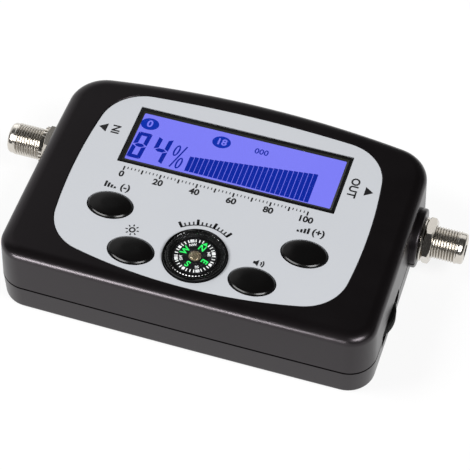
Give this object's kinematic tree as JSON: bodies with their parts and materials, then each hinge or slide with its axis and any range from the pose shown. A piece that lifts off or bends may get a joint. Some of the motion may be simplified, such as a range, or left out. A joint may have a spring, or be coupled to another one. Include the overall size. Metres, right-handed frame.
{
  "type": "satellite signal meter",
  "caption": "Hand-held satellite signal meter: black two-part case, lit display, push buttons, small compass, edge thumbwheel and a threaded cable socket at each end.",
  "frame": {"origin": "middle of the box round the whole meter, on the flat surface that its back rests on", "axes": "+X along the long side towards the receiver connector, +Y from the user towards the display's back edge, +Z out of the front label"},
  "size_m": [0.1372, 0.0752, 0.0242],
  "materials": {
    "case_black": "satin black moulded plastic",
    "label_grey": "light grey printed film",
    "bezel_black": "black moulded plastic",
    "clear_plastic": "clear acrylic",
    "display_blue": "liquid crystal glass, lit blue from behind",
    "diffuser_white": "milky diffuser",
    "strip_rubber": "pink silicone strip",
    "board_laminate": "green solder mask",
    "button_black": "smooth black plastic",
    "switch_plastic": "black switch plastic",
    "plunger_white": "white switch plastic",
    "compass_black": "smooth black plastic",
    "card_black": "black printed dial",
    "jewel_copper": "polished copper coloured cap",
    "magnet_ferrite": "dark sintered ferrite",
    "zinc_steel": "bright zinc plate",
    "nickel_plate": "warm nickel plate",
    "insulator_white": "white insulator plastic",
    "contact_brass": "gold plated spring contact",
    "tinplate": "dull tinplate",
    "chip_resin": "moulded black resin",
    "capacitor_can": "bare aluminium can",
    "wheel_black": "knurled black plastic"
  },
  "bodies": {
    "meter_case": {"upper_case": "case_black", "lower_case": "case_black", "case_screw_front_left": "zinc_steel", "case_screw_front_right": "zinc_steel", "case_screw_back_left": "zinc_steel", "case_screw_back_right": "zinc_steel", "board_screw_front_left": "zinc_steel", "board_screw_front_right": "zinc_steel", "board_screw_back_left": "zinc_steel", "board_screw_back_right": "zinc_steel", "front_label": "label_grey", "display_bezel": "bezel_black", "display_window": "clear_plastic", "display_glass": "display_blue", "display_backlight": "diffuser_white", "display_contact_strip": "strip_rubber", "main_board": "board_laminate", "tuner_shield": "tinplate", "piezo_buzzer": "chip_resin", "microcontroller": "chip_resin", "voltage_regulator": "chip_resin", "smoothing_capacitor": "capacitor_can", "attenuation_down_switch": "switch_plastic", "light_switch": "switch_plastic", "buzzer_switch": "switch_plastic", "attenuation_up_switch": "switch_plastic", "compass_housing": "compass_black", "compass_lens": "clear_plastic", "compass_pivot": "zinc_steel", "lnb_connector": "nickel_plate", "receiver_connector": "nickel_plate", "lnb_insulator": "insulator_white", "receiver_insulator": "insulator_white", "lnb_contact": "contact_brass", "receiver_contact": "contact_brass", "receiver_washer": "nickel_plate", "receiver_nut": "nickel_plate", "lnb_nut": "nickel_plate", "lnb_lock_collar": "nickel_plate", "potentiometer_body": "switch_plastic"},
    "attenuation_down_key": {"attenuation_down_button": "button_black", "attenuation_down_plunger": "plunger_white"},
    "light_key": {"light_button": "button_black", "light_plunger": "plunger_white"},
    "buzzer_key": {"buzzer_button": "button_black", "buzzer_plunger": "plunger_white"},
    "attenuation_up_key": {"attenuation_up_button": "button_black", "attenuation_up_plunger": "plunger_white"},
    "compass_rotor": {"compass_card": "card_black", "compass_jewel": "jewel_copper", "compass_magnet": "magnet_ferrite"},
    "thumbwheel_rotor": {"thumbwheel": "wheel_black", "thumbwheel_shaft": "zinc_steel"}
  },
  "joints": [
    {"name": "attenuation_down_press", "type": "slide", "parent": "meter_case", "child": "attenuation_down_key", "axis": [0, 0, -1], "range_m": [0, 0.0005], "stiffness_N_per_m": 2000},
    {"name": "light_press", "type": "slide", "parent": "meter_case", "child": "light_key", "axis": [0, 0, -1], "range_m": [0, 0.0005], "stiffness_N_per_m": 2000},
    {"name": "buzzer_press", "type": "slide", "parent": "meter_case", "child": "buzzer_key", "axis": [0, 0, -1], "range_m": [0, 0.0005], "stiffness_N_per_m": 2000},
    {"name": "attenuation_up_press", "type": "slide", "parent": "meter_case", "child": "attenuation_up_key", "axis": [0, 0, -1], "range_m": [0, 0.0005], "stiffness_N_per_m": 2000},
    {"name": "compass_turn", "type": "hinge", "parent": "meter_case", "child": "compass_rotor", "pos_m": [0, -0.0223, 0.022], "axis": [0, 0, 1], "continuous": true},
    {"name": "thumbwheel_turn", "type": "hinge", "parent": "meter_case", "child": "thumbwheel_rotor", "pos_m": [0.0465, -0.01535, 0.0081], "axis": [0, 0, 1], "range_deg": [-135, 135]}
  ]
}
